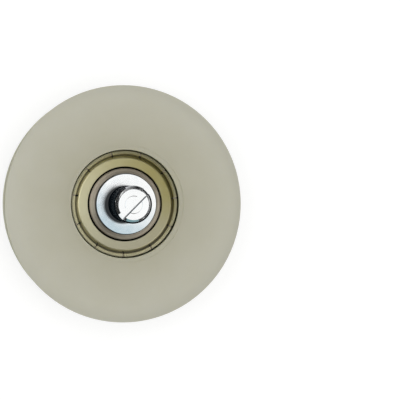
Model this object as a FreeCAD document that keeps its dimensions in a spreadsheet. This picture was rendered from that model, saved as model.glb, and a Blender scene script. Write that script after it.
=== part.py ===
import FreeCAD, Part
import math
import os
import re

import Sketcher

# Elevator door roller: a grooved nylon wheel moulded round a shielded deep-groove ball bearing,
# carried on a turned steel stud with a collar, a relieved neck, an M12 end and a driver slot.
# The wheel lies on its flat back face at z = 0, its axis is Z, and the stud points up.
# Lengths are millimetres, angles are degrees.

SIZES = [
    ("wheel_diameter", 78.0, "wheel over its two rims"),
    ("wheel_width", 22.0, "wheel from back face to stud-side face"),
    ("rim_width", 4.0, "each rim, measured along the axis"),
    ("groove_depth", 5.25, "rail groove below the rims"),
    ("groove_corner_round", 0.5, "root of the rail groove"),
    ("rim_edge_round", 0.35, "edge of each rim over the groove"),
    ("back_bevel_width", 6.2, "radial reach of the back rim's bulged bevel"),
    ("back_bevel_drop", 2.1, "axial drop of the back rim's bevel"),
    ("front_bevel_width", 5.7, "radial reach of the front rim's bulged bevel"),
    ("front_bevel_drop", 1.5, "axial drop of the front rim's bevel"),
    ("bearing_inset", 1.0, "bearing face below the stud-side face"),
    ("lip_share", 0.1913, "nylon lip over each side of the outer ring, as a share of the bearing's section"),
    ("lip_relief_width", 1.6, "shallow turned relief round the opening"),
    ("lip_relief_depth", 0.2, "depth of that relief"),
    ("lip_edge_round", 0.25, "edges of the two openings"),
    ("seat_clearance", 0.01, "radial play of a seat that is moulded or pressed"),
    ("bearing_bore_diameter", 17.0, "bearing bore"),
    ("bearing_diameter", 40.0, "bearing over its outer ring"),
    ("bearing_width", 12.0, "both rings"),
    ("ring_corner", 0.6, "corner chamfer of both rings"),
    ("ball_share", 0.5867, "ball across, as a share of the bearing's section: 6.747 mm, 17/64 inch"),
    ("ball_count", 8.0, "balls, pockets and rivets"),
    ("race_share", 0.52, "section radius of both raceways, as a share of the ball's diameter"),
    ("race_clearance", 0.02, "ball to the deepest line of a raceway"),
    ("inner_step_share", 0.2843, "inner ring where a shield runs round it, as a share of the section"),
    ("inner_shoulder_share", 0.3261, "inner ring beside its raceway, as a share of the section"),
    ("outer_shoulder_share", 0.6957, "outer ring beside its raceway, as a share of the section"),
    ("shield_lip_share", 0.7957, "mouth of the outer ring, as a share of the section"),
    ("shield_groove_share", 0.8174, "groove that holds a shield's curled rim, as a share of the section"),
    ("inner_step_length", 1.6, "length of the inner ring's step"),
    ("shield_lip_length", 0.95, "length of the outer ring's mouth"),
    ("shield_seat_depth", 1.75, "ring face to the step a shield sits on"),
    ("shield_fit", 0.03, "shield's curl to the ring round it"),
    ("shield_sheet", 0.3, "sheet of a shield"),
    ("shield_inset", 0.35, "flat of a shield below the ring face"),
    ("shield_running_gap", 0.5, "shield's bore to the stepped inner ring"),
    ("shield_slope_width", 0.6, "fall from the flat to the valley"),
    ("shield_valley_drop", 0.75, "valley below the flat"),
    ("shield_valley_width", 0.3, "floor of the valley"),
    ("shield_ridge_width", 0.35, "rise from the valley to the ridge"),
    ("shield_ridge_height", 0.5, "ridge above the valley"),
    ("shield_crease_width", 0.35, "ridge to the crease in the curl"),
    ("shield_curl_width", 0.72, "crease to the outside of the curl"),
    ("shield_crease_drop", 0.16, "crease below the ridge"),
    ("shield_round", 0.12, "small bends of a shield"),
    ("shield_shoulder_round", 0.7, "shoulder at the edge of the flat"),
    ("notch_count", 11.0, "slits in a shield's curled rim"),
    ("notch_width", 0.5, "width of a slit"),
    ("notch_reach", 0.25, "slit past the valley, up the slope to the flat"),
    ("notch_angle", 6.5, "bearing of the first slit"),
    ("cage_sheet", 0.6, "sheet of a cage half"),
    ("cage_width", 2.4, "radial width of the cage ribbon"),
    ("cage_pocket_clearance", 0.08, "ball to its pocket"),
    ("rivet_diameter", 1.2, "shank of a cage rivet"),
    ("rivet_head_diameter", 1.9, "head of a cage rivet"),
    ("rivet_head_height", 0.45, "height of a rivet head"),
    ("rivet_clearance", 0.02, "radial play of a rivet in its hole"),
    ("collar_shoulder", 1.5, "stud collar beyond the bearing bore, all round"),
    ("collar_thickness", 3.2, "stud collar, from the inner ring's face"),
    ("collar_edge_chamfer", 0.25, "edges of the collar"),
    ("neck_diameter", 11.2, "relieved neck between collar and thread"),
    ("neck_length", 3.6, "relieved neck"),
    ("neck_round", 0.5, "root of the neck at the collar"),
    ("thread_diameter", 12.0, "M12 end"),
    ("thread_length", 13.6, "M12 end with its tip chamfer"),
    ("thread_tip_chamfer", 1.2, "tip of the M12 end"),
    ("slot_width", 2.2, "driver slot across the tip"),
    ("slot_depth", 2.0, "driver slot across the tip"),
    ("slot_angle", 45.0, "bearing of the driver slot"),
    ("circlip_groove_depth", 0.4, "circlip groove below the bearing bore"),
    ("circlip_groove_width", 1.1, "circlip groove"),
    ("circlip_thickness", 1.0, "circlip"),
    ("circlip_taper_share", 0.18, "circlip's outer circle off the axis, as a share of the ring's mean width"),
    ("circlip_fit", 0.03, "circlip to the bottom of its groove"),
    ("circlip_mouth", 2.4, "gap between the circlip's ends"),
    ("circlip_lug_diameter", 3.2, "lug at each end of the circlip"),
    ("circlip_hole_diameter", 1.6, "plier hole in each lug"),
    ("tail_length", 1.5, "stud beyond the circlip groove"),
    ("tail_chamfer", 0.6, "back end of the stud"),
]

doc = FreeCAD.newDocument("door_roller")
sheet = doc.addObject("Spreadsheet::Sheet", "Sizes")
for row, (alias, size, meaning) in enumerate(SIZES, start=1):
    sheet.set(f"A{row}", alias)
    sheet.set(f"B{row}", str(size))
    sheet.setAlias(f"B{row}", alias)
    sheet.set(f"C{row}", meaning)
doc.recompute()

# Places that several pieces share, each written in the sheet's names.
BEARING_FRONT = "(wheel_width - bearing_inset)"
BEARING_BACK = f"({BEARING_FRONT} - bearing_width)"
BEARING_MIDDLE = f"({BEARING_FRONT} - bearing_width / 2)"
RING_SECTION = "((bearing_diameter - bearing_bore_diameter) / 2)"
OPENING_RADIUS = f"(bearing_diameter / 2 - lip_share * {RING_SECTION})"
INNER_STEP_RADIUS = f"(bearing_bore_diameter / 2 + inner_step_share * {RING_SECTION})"
INNER_SHOULDER_RADIUS = f"(bearing_bore_diameter / 2 + inner_shoulder_share * {RING_SECTION})"
OUTER_SHOULDER_RADIUS = f"(bearing_bore_diameter / 2 + outer_shoulder_share * {RING_SECTION})"
SHIELD_LIP_RADIUS = f"(bearing_bore_diameter / 2 + shield_lip_share * {RING_SECTION})"
SHIELD_GROOVE_RADIUS = f"(bearing_bore_diameter / 2 + shield_groove_share * {RING_SECTION})"
PITCH_RADIUS = "((bearing_diameter + bearing_bore_diameter) / 4)"
BALL_RADIUS = f"(ball_share * {RING_SECTION} / 2)"
RACE_RADIUS = f"(race_share * 2 * {BALL_RADIUS})"
RACE_REACH = f"({BALL_RADIUS} + race_clearance)"
POCKET_RADIUS = f"({BALL_RADIUS} + cage_pocket_clearance)"
COLLAR_RADIUS = "(bearing_bore_diameter / 2 + collar_shoulder)"
CIRCLIP_GROOVE_RADIUS = "(bearing_bore_diameter / 2 - circlip_groove_depth)"
CIRCLIP_BACK = f"({BEARING_BACK} - circlip_thickness)"
STUD_BACK = f"({BEARING_BACK} - circlip_groove_width - tail_length)"

ALIASES = {alias for alias, size, meaning in SIZES}
SIZE_NAME = re.compile(r"[a-z]\w*")


def sized(text):
    """The expression with each size's name pointed at the sheet."""

    def point_at_sheet(name):
        word = name.group()
        return "Sizes." + word if word in ALIASES else word

    return SIZE_NAME.sub(point_at_sheet, text)


def amount(text):
    """The expression's present value."""
    return float(sheet.evalExpression(text))


def origin_feature(body, role):
    """A plane or axis of the body's own origin."""
    return next(item for item in body.Origin.OriginFeatures if item.Role == role)


def new_body(label, height="0", turned_over=False):
    """A body that stands on the wheel's axis, the other way up if turned over."""
    body = doc.addObject("PartDesign::Body", label)
    body.Label = label
    if turned_over:
        body.Placement.Rotation = FreeCAD.Rotation(FreeCAD.Vector(1, 0, 0), 180)
    body.setExpression(".Placement.Base.z", sized(height))
    return body


def new_sketch(body, name, plane):
    sketch = body.newObject("Sketcher::SketchObject", name)
    sketch.AttachmentSupport = [(origin_feature(body, plane), "")]
    sketch.MapMode = "FlatFace"
    return sketch


def pin_point(sketch, geometry, point, across, along):
    """Ties one sketch point to two expressions, measured from the sketch's origin."""
    for kind, axis, text in (("DistanceX", -2, across), ("DistanceY", -1, along)):
        if text == "0":
            sketch.addConstraint(Sketcher.Constraint("PointOnObject", geometry, point, axis))
            continue
        tie = sketch.addConstraint(Sketcher.Constraint(kind, -1, 1, geometry, point, amount(text)))
        sketch.setExpression(f"Constraints[{tie}]", sized(text))


def add_circle(sketch, across, along, radius):
    """A circle whose centre and radius follow expressions."""
    centre = FreeCAD.Vector(amount(across), amount(along), 0)
    circle = sketch.addGeometry(Part.Circle(centre, FreeCAD.Vector(0, 0, 1), amount(radius)))
    pin_point(sketch, circle, 3, across, along)
    tie = sketch.addConstraint(Sketcher.Constraint("Radius", circle, amount(radius)))
    sketch.setExpression(f"Constraints[{tie}]", sized(radius))


def arc_between(start, end, radius, side):
    """The shorter arc from start to end, its centre to the left of the way for side 1 and right for -1."""
    chord = end - start
    left = FreeCAD.Vector(-chord.y, chord.x, 0).normalize()
    offset = math.sqrt(radius**2 - (chord.Length / 2) ** 2)
    centre = (start + end) * 0.5 + left * (side * offset)
    first, last = (start, end) if side > 0 else (end, start)
    angles = [math.atan2(point.y - centre.y, point.x - centre.x) for point in (first, last)]
    circle = Part.Circle(centre, FreeCAD.Vector(0, 0, 1), radius)
    return Part.ArcOfCircle(circle, angles[0], angles[1])


def add_outline(sketch, corners, arcs=None):
    """A closed outline whose corners follow expressions.

    A corner is (across, along) or (across, along, round), where round is the radius of a tangent bend.
    arcs maps a corner's number to (radius, side) of the arc that leads from it to the next, unbent corner.
    """
    arcs = arcs or {}
    count = len(corners)
    places = [FreeCAD.Vector(amount(corner[0]), amount(corner[1]), 0) for corner in corners]
    starts, ends = list(places), list(places)
    for number, corner in enumerate(corners):
        if len(corner) == 2:
            continue
        back = (places[number - 1] - places[number]).normalize()
        ahead = (places[(number + 1) % count] - places[number]).normalize()
        reach = amount(corner[2]) / math.tan(back.getAngle(ahead) / 2)
        ends[number] = places[number] + back * reach
        starts[number] = places[number] + ahead * reach

    sides, first_points, last_points = [], [], []
    for number in range(count):
        start, end = starts[number], ends[(number + 1) % count]
        if number in arcs:
            radius, side = arcs[number]
            sides.append(sketch.addGeometry(arc_between(start, end, amount(radius), side)))
            first_points.append(1 if side > 0 else 2)
            last_points.append(2 if side > 0 else 1)
            tie = sketch.addConstraint(Sketcher.Constraint("Radius", sides[-1], amount(radius)))
            sketch.setExpression(f"Constraints[{tie}]", sized(radius))
        else:
            sides.append(sketch.addGeometry(Part.LineSegment(start, end)))
            first_points.append(1)
            last_points.append(2)

    for number, corner in enumerate(corners):
        before, after = sides[number - 1], sides[number]
        before_end, after_start = last_points[number - 1], first_points[number]
        if len(corner) == 2:
            sketch.addConstraint(Sketcher.Constraint("Coincident", before, before_end, after, after_start))
            pin_point(sketch, after, after_start, corner[0], corner[1])
            continue
        back = ends[number] - places[number]
        ahead = starts[number] - places[number]
        turn = -1 if back.cross(ahead).z > 0 else 1
        radius = amount(corner[2])
        bend = sketch.addGeometry(arc_between(ends[number], starts[number], radius, turn))
        bend_first, bend_last = (1, 2) if turn > 0 else (2, 1)
        sharp = sketch.addGeometry(Part.Point(places[number]), True)
        pin_point(sketch, sharp, 1, corner[0], corner[1])
        sketch.addConstraint(Sketcher.Constraint("PointOnObject", sharp, 1, before))
        sketch.addConstraint(Sketcher.Constraint("PointOnObject", sharp, 1, after))
        sketch.addConstraint(Sketcher.Constraint("Tangent", before, before_end, bend, bend_first))
        sketch.addConstraint(Sketcher.Constraint("Tangent", bend, bend_last, after, after_start))
        tie = sketch.addConstraint(Sketcher.Constraint("Radius", bend, radius))
        sketch.setExpression(f"Constraints[{tie}]", sized(corner[2]))


def add_box(sketch, inner, outer, width):
    """A rectangle from inner to outer along the sketch's first axis, centred on it."""
    low, high = f"-{width} / 2", f"{width} / 2"
    add_outline(sketch, [(inner, low), (outer, low), (outer, high), (inner, high)])


def revolve(body, name, corners, arcs=None):
    """A turned solid from a half-section given as (radius, height) corners."""
    sketch = new_sketch(body, name + "_section", "XZ_Plane")
    add_outline(sketch, corners, arcs)
    turned = body.newObject("PartDesign::Revolution", name)
    turned.Profile = sketch
    turned.ReferenceAxis = (sketch, ["V_Axis"])
    turned.Angle = 360
    return turned


def repeat_round(body, name, feature, count):
    """Copies of a feature, evenly spaced round the body's Z axis."""
    pattern = body.newObject("PartDesign::PolarPattern", name)
    pattern.Originals = [feature]
    pattern.Axis = (origin_feature(body, "Z_Axis"), [""])
    pattern.Angle = 360
    pattern.setExpression("Occurrences", sized(count))
    body.Tip = pattern
    return pattern


def cut_through(body, name, sketch):
    """A cut that goes right through the body, both ways from the sketch."""
    pocket = body.newObject("PartDesign::Pocket", name)
    pocket.Profile = sketch
    pocket.Type = "ThroughAll"
    pocket.Midplane = True
    return pocket


def add_sphere(body, kind, name, radius):
    """A sphere on the pitch circle, added to or taken from the body."""
    sphere = body.newObject(kind, name)
    sphere.setExpression("Radius", sized(radius))
    sphere.setExpression(".Placement.Base.x", sized(PITCH_RADIUS))
    return sphere


def make_wheel():
    """Nylon wheel: rail groove between two bevelled rims, and a lipped seat for the bearing."""
    rim = "(wheel_diameter / 2)"
    groove = f"({rim} - groove_depth)"
    front_rim = "(wheel_width - rim_width)"
    seat = "(bearing_diameter / 2 + seat_clearance)"
    relief = f"({OPENING_RADIUS} + lip_relief_width)"
    relief_floor = "(wheel_width - lip_relief_depth)"
    back_bevel = "((back_bevel_width ^ 2 + back_bevel_drop ^ 2) / (2 * back_bevel_drop))"
    front_bevel = "((front_bevel_width ^ 2 + front_bevel_drop ^ 2) / (2 * front_bevel_drop))"
    section = [
        (OPENING_RADIUS, "0", "lip_edge_round"),
        (f"{rim} - back_bevel_width", "0"),
        (rim, "back_bevel_drop"),
        (rim, "rim_width", "rim_edge_round"),
        (groove, "rim_width", "groove_corner_round"),
        (groove, front_rim, "groove_corner_round"),
        (rim, front_rim, "rim_edge_round"),
        (rim, "wheel_width - front_bevel_drop"),
        (f"{rim} - front_bevel_width", "wheel_width"),
        (relief, "wheel_width"),
        (relief, relief_floor),
        (OPENING_RADIUS, relief_floor, "lip_edge_round"),
        (OPENING_RADIUS, BEARING_FRONT),
        (seat, BEARING_FRONT),
        (seat, BEARING_BACK),
        (OPENING_RADIUS, BEARING_BACK),
    ]
    body = new_body("wheel")
    revolve(body, "Wheel_turned", section, {1: (back_bevel, 1), 7: (front_bevel, 1)})
    return body


def make_outer_ring():
    """Outer ring: ball raceway between two shoulders, and a grooved step for a shield at each face."""
    outside = "(bearing_diameter / 2)"
    shoulder = OUTER_SHOULDER_RADIUS
    mouth = SHIELD_LIP_RADIUS
    groove = SHIELD_GROOVE_RADIUS
    race_centre = f"({PITCH_RADIUS} + {RACE_REACH} - {RACE_RADIUS})"
    half_race = f"sqrt({RACE_RADIUS} ^ 2 - ({shoulder} - {race_centre}) ^ 2)"
    section = [
        (f"{outside} - ring_corner", "0"),
        (outside, "ring_corner"),
        (outside, "bearing_width - ring_corner"),
        (f"{outside} - ring_corner", "bearing_width"),
        (mouth, "bearing_width"),
        (mouth, "bearing_width - shield_lip_length"),
        (groove, "bearing_width - shield_lip_length"),
        (groove, "bearing_width - shield_seat_depth"),
        (shoulder, "bearing_width - shield_seat_depth"),
        (shoulder, f"bearing_width / 2 + {half_race}"),
        (shoulder, f"bearing_width / 2 - {half_race}"),
        (shoulder, "shield_seat_depth"),
        (groove, "shield_seat_depth"),
        (groove, "shield_lip_length"),
        (mouth, "shield_lip_length"),
        (mouth, "0"),
    ]
    body = new_body("bearing_outer_ring", BEARING_BACK)
    revolve(body, "Outer_ring_turned", section, {9: (RACE_RADIUS, -1)})
    return body


def make_inner_ring():
    """Inner ring: bore on the stud, raceway between two shoulders, and a step under each shield."""
    bore = "(bearing_bore_diameter / 2)"
    shoulder = INNER_SHOULDER_RADIUS
    step = INNER_STEP_RADIUS
    race_centre = f"({PITCH_RADIUS} - {RACE_REACH} + {RACE_RADIUS})"
    half_race = f"sqrt({RACE_RADIUS} ^ 2 - ({race_centre} - {shoulder}) ^ 2)"
    section = [
        (f"{bore} + ring_corner", "0"),
        (f"{step} - ring_corner / 2", "0"),
        (step, "ring_corner / 2"),
        (step, "inner_step_length"),
        (shoulder, "inner_step_length"),
        (shoulder, f"bearing_width / 2 - {half_race}"),
        (shoulder, f"bearing_width / 2 + {half_race}"),
        (shoulder, "bearing_width - inner_step_length"),
        (step, "bearing_width - inner_step_length"),
        (step, "bearing_width - ring_corner / 2"),
        (f"{step} - ring_corner / 2", "bearing_width"),
        (f"{bore} + ring_corner", "bearing_width"),
        (bore, "bearing_width - ring_corner"),
        (bore, "ring_corner"),
    ]
    body = new_body("bearing_inner_ring", BEARING_BACK)
    revolve(body, "Inner_ring_turned", section, {5: (RACE_RADIUS, -1)})
    return body


def make_ball(number):
    """One ball of the row, on the pitch circle half-way across the rings."""
    ball = doc.addObject("Part::Sphere", f"ball_{number}")
    ball.Label = f"ball_{number}"
    ball.setExpression("Radius", sized(BALL_RADIUS))
    angle = f"{number - 1} * 360 deg / ball_count"
    ball.setExpression(".Placement.Base.x", sized(f"{PITCH_RADIUS} * cos({angle})"))
    ball.setExpression(".Placement.Base.y", sized(f"{PITCH_RADIUS} * sin({angle})"))
    ball.setExpression(".Placement.Base.z", sized(BEARING_MIDDLE))
    return ball


def make_shield(label, turned_over):
    """Pressed sheet shield: flat ring, rounded shoulder, valley, and a slit, curled rim."""
    bore = f"({INNER_STEP_RADIUS} + shield_running_gap)"
    mouth = f"({SHIELD_LIP_RADIUS} - shield_fit)"
    groove = f"({SHIELD_GROOVE_RADIUS} - shield_fit)"
    crease = f"({mouth} - shield_curl_width)"
    ridge = f"({crease} - shield_crease_width)"
    valley_out = f"({ridge} - shield_ridge_width)"
    valley_in = f"({valley_out} - shield_valley_width)"
    shoulder = f"({valley_in} - shield_slope_width)"
    half = "(bearing_width / 2)"
    flat = f"({half} - shield_inset)"
    valley = f"({flat} - shield_valley_drop)"
    ridge_top = f"({valley} + shield_ridge_height)"
    seat = f"({half} - shield_seat_depth)"
    curl_side = f"({half} - shield_lip_length - shield_fit)"
    section = [
        (bore, f"{flat} - shield_sheet"),
        (shoulder, f"{flat} - shield_sheet", "shield_shoulder_round - shield_sheet"),
        (f"{valley_in} - shield_sheet / 2", seat),
        (groove, seat),
        (groove, curl_side),
        (mouth, curl_side),
        (mouth, f"{ridge_top} - shield_crease_drop", "shield_round"),
        (f"({crease} + {mouth}) / 2", ridge_top, "shield_round"),
        (crease, f"{ridge_top} - shield_crease_drop", "shield_round"),
        (ridge, ridge_top, "shield_round"),
        (valley_out, valley, "shield_round"),
        (valley_in, valley, "shield_round"),
        (shoulder, flat, "shield_shoulder_round"),
        (bore, flat, "shield_round"),
    ]
    body = new_body(label, BEARING_MIDDLE, turned_over)
    revolve(body, label + "_pressed", section)
    slit = new_sketch(body, label + "_slit_outline", "XY_Plane")
    slit.setExpression(".AttachmentOffset.Rotation.Angle", sized("notch_angle * 1 deg"))
    add_box(slit, f"{valley_in} - notch_reach", f"{groove} + notch_width", "notch_width")
    pocket = cut_through(body, label + "_slit", slit)
    repeat_round(body, label + "_slits", pocket, "notch_count")
    return body


def make_cage_half(label, turned_over):
    """Pressed ribbon cage half: flat lands, and a shell round the near side of each ball."""
    inner = f"({PITCH_RADIUS} - cage_width / 2)"
    outer = f"({PITCH_RADIUS} + cage_width / 2)"
    shell = f"({POCKET_RADIUS} + cage_sheet)"
    body = new_body(label, BEARING_MIDDLE, turned_over)

    land = new_sketch(body, label + "_land_outline", "XY_Plane")
    add_circle(land, "0", "0", inner)
    add_circle(land, "0", "0", outer)
    pad = body.newObject("PartDesign::Pad", label + "_land")
    pad.Profile = land
    pad.setExpression("Length", sized("cage_sheet"))
    dome = add_sphere(body, "PartDesign::AdditiveSphere", label + "_dome", shell)
    repeat_round(body, label + "_domes", dome, "ball_count")

    far_side = new_sketch(body, label + "_far_side", "XY_Plane")
    add_circle(far_side, "0", "0", f"{outer} + {shell}")
    halve = body.newObject("PartDesign::Pocket", label + "_halved")
    halve.Profile = far_side
    halve.setExpression("Length", sized(f"2 * {shell}"))

    edges = new_sketch(body, label + "_edges", "XY_Plane")
    add_circle(edges, "0", "0", inner)
    add_circle(edges, "0", "0", outer)
    add_circle(edges, "0", "0", f"{outer} + {shell}")
    cut_through(body, label + "_trimmed", edges)

    hollow = add_sphere(body, "PartDesign::SubtractiveSphere", label + "_pocket", POCKET_RADIUS)
    repeat_round(body, label + "_pockets", hollow, "ball_count")

    hole = new_sketch(body, label + "_rivet_outline", "XY_Plane")
    half_step = "180 deg / ball_count"
    hole_across = f"{PITCH_RADIUS} * cos({half_step})"
    hole_along = f"{PITCH_RADIUS} * sin({half_step})"
    add_circle(hole, hole_across, hole_along, "rivet_diameter / 2 + rivet_clearance")
    pocket = cut_through(body, label + "_rivet_hole", hole)
    repeat_round(body, label + "_rivet_holes", pocket, "ball_count")
    return body


def make_rivet(number):
    """Cage rivet with a domed head over each half's land."""
    shank = "(rivet_diameter / 2)"
    head = "(rivet_head_diameter / 2)"
    land_top = "(rivet_head_height + 2 * cage_sheet)"
    dome = f"(({head} ^ 2 + rivet_head_height ^ 2) / (2 * rivet_head_height))"
    section = [
        ("0", "0"),
        (head, "rivet_head_height"),
        (shank, "rivet_head_height"),
        (shank, land_top),
        (head, land_top),
        ("0", f"{land_top} + rivet_head_height"),
    ]
    label = f"cage_rivet_{number}"
    body = new_body(label, f"{BEARING_MIDDLE} - rivet_head_height - cage_sheet")
    angle = f"({number} - 0.5) * 360 deg / ball_count"
    body.setExpression(".Placement.Base.x", sized(f"{PITCH_RADIUS} * cos({angle})"))
    body.setExpression(".Placement.Base.y", sized(f"{PITCH_RADIUS} * sin({angle})"))
    revolve(body, label + "_headed", section, {0: (dome, 1), 4: (dome, 1)})
    return body


def make_stud():
    """Stud: bearing seat with a circlip groove, collar, relieved neck, and an M12 end with a driver slot."""
    seat = "(bearing_bore_diameter / 2 - seat_clearance)"
    groove_back = "tail_length"
    ring_back = "(tail_length + circlip_groove_width)"
    collar_back = f"({ring_back} + bearing_width)"
    collar_top = f"({collar_back} + collar_thickness)"
    neck_top = f"({collar_top} + neck_length)"
    tip = f"({neck_top} + thread_length)"
    collar = COLLAR_RADIUS
    neck = "(neck_diameter / 2)"
    thread = "(thread_diameter / 2)"
    groove = CIRCLIP_GROOVE_RADIUS
    step = f"({thread} - {neck})"
    section = [
        ("0", "0"),
        (f"{seat} - tail_chamfer", "0"),
        (seat, "tail_chamfer"),
        (seat, groove_back),
        (groove, groove_back),
        (groove, ring_back),
        (seat, ring_back),
        (seat, collar_back),
        (f"{collar} - collar_edge_chamfer", collar_back),
        (collar, f"{collar_back} + collar_edge_chamfer"),
        (collar, f"{collar_top} - collar_edge_chamfer"),
        (f"{collar} - collar_edge_chamfer", collar_top),
        (neck, collar_top, "neck_round"),
        (neck, f"{neck_top} - {step}"),
        (thread, neck_top),
        (thread, f"{tip} - thread_tip_chamfer"),
        (f"{thread} - thread_tip_chamfer", tip),
        ("0", tip),
    ]
    body = new_body("stud", STUD_BACK)
    revolve(body, "Stud_turned", section)

    slot = new_sketch(body, "Driver_slot_outline", "XY_Plane")
    slot.setExpression(".AttachmentOffset.Base.z", sized(tip))
    slot.setExpression(".AttachmentOffset.Rotation.Angle", sized("slot_angle * 1 deg"))
    add_box(slot, "-thread_diameter", "thread_diameter", "slot_width")
    pocket = body.newObject("PartDesign::Pocket", "Driver_slot")
    pocket.Profile = slot
    pocket.setExpression("Length", sized("slot_depth"))
    return body


def make_circlip():
    """External circlip: tapered ring as wide as the collar, with a drilled lug at each end of its mouth."""
    body = new_body("circlip", CIRCLIP_BACK)
    inner = f"({CIRCLIP_GROOVE_RADIUS} + circlip_fit)"
    outer = COLLAR_RADIUS
    taper = f"(circlip_taper_share * ({outer} - {inner}))"
    lug = "(circlip_lug_diameter / 2)"
    lug_offset = f"(circlip_mouth / 2 + {lug})"
    lug_reach = f"sqrt({outer} ^ 2 - {lug_offset} ^ 2)"

    blank = new_sketch(body, "Circlip_blank_outline", "XY_Plane")
    add_circle(blank, f"-{taper}", "0", outer)
    ring = body.newObject("PartDesign::Pad", "Circlip_blank")
    ring.Profile = blank
    ring.setExpression("Length", sized("circlip_thickness"))
    for side, sign in (("left", "-"), ("right", "")):
        outline = new_sketch(body, f"Circlip_{side}_lug_outline", "XY_Plane")
        add_circle(outline, lug_reach, f"{sign}{lug_offset}", lug)
        ear = body.newObject("PartDesign::Pad", f"Circlip_{side}_lug")
        ear.Profile = outline
        ear.setExpression("Length", sized("circlip_thickness"))

    bore = new_sketch(body, "Circlip_bore_outline", "XY_Plane")
    add_circle(bore, "0", "0", inner)
    cut_through(body, "Circlip_bore", bore)
    mouth = new_sketch(body, "Circlip_mouth_outline", "XY_Plane")
    add_box(mouth, "0", f"{lug_reach} + circlip_lug_diameter", "circlip_mouth")
    cut_through(body, "Circlip_mouth", mouth)
    holes = new_sketch(body, "Circlip_holes_outline", "XY_Plane")
    for sign in ("-", ""):
        add_circle(holes, lug_reach, f"{sign}{lug_offset}", "circlip_hole_diameter / 2")
    cut_through(body, "Circlip_holes", holes)
    return body


BALL_COUNT = round(amount("ball_count"))
parts = [make_wheel(), make_outer_ring(), make_inner_ring()]
parts += [make_ball(number) for number in range(1, BALL_COUNT + 1)]
parts += [make_cage_half("cage_front_half", False), make_cage_half("cage_back_half", True)]
parts += [make_rivet(number) for number in range(1, BALL_COUNT + 1)]
parts += [make_shield("front_shield", False), make_shield("back_shield", True)]
parts += [make_stud(), make_circlip()]
doc.recompute()

for item in doc.Objects:
    if "Invalid" in item.State or "Error" in item.State:
        raise RuntimeError(f"{item.Label} did not rebuild: {item.State}")
for part in parts:
    if part.Shape.isNull() or not part.Shape.isValid() or len(part.Shape.Solids) != 1:
        raise RuntimeError(f"{part.Label} is not one sound solid")

os.makedirs("parts", exist_ok=True)
for part in parts:
    part.Shape.exportStep(f"parts/{part.Label}.step")
    print(f"{part.Label:20} {part.Shape.Volume:10.2f} mm3")
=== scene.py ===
"""Elevator door roller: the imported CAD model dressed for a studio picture.

The wheel lies on its flat back face at z = 0, its axis is Z, and the stud points up.
Lengths are in metres.
"""

import math

import bmesh
import bpy
from bpy.props import FloatProperty, FloatVectorProperty, IntProperty, PointerProperty
from mathutils import Matrix, Vector


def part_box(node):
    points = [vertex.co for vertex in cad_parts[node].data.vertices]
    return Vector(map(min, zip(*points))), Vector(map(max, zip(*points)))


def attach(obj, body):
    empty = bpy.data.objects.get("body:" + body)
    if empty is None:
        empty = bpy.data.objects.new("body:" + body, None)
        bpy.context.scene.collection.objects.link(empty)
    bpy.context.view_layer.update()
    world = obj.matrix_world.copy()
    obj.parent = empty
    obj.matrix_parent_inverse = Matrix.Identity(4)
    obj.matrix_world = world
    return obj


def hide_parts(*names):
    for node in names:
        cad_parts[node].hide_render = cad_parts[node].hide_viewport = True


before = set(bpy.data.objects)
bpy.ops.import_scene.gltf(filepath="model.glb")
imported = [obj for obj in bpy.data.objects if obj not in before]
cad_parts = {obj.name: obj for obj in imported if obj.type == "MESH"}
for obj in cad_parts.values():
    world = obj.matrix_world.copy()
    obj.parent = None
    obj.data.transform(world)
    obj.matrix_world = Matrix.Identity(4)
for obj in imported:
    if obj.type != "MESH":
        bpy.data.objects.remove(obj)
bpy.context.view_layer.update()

STUD_LOW, STUD_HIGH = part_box("stud")
BEARING_LOW, BEARING_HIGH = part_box("bearing_outer_ring")
SHIELD_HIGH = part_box("front_shield")[1]

bl_info = {
    "name": "Door Roller",
    "version": (1, 0, 0),
    "blender": (4, 5, 0),
    "location": "3D View > Sidebar > Roller",
    "description": "Finishes, threaded stud and stage for an elevator door roller",
    "category": "Object",
}


def colour_property(name, description, default):
    return FloatVectorProperty(name=name, description=description, default=default, size=3,
                               subtype="COLOR", min=0.0, max=1.0)


def length_property(name, description, default):
    return FloatProperty(name=name, description=description, default=default, min=0.0,
                         unit="LENGTH", subtype="DISTANCE", precision=5)


def angle_property(name, description, degrees):
    return FloatProperty(name=name, description=description, default=math.radians(degrees),
                         unit="ROTATION", subtype="ANGLE")


def power_property(name, description, default):
    return FloatProperty(name=name, description=description, default=default, unit="POWER", min=0.0)


def factor_property(name, description, default):
    return FloatProperty(name=name, description=description, default=default, subtype="FACTOR", min=0.0)


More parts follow.
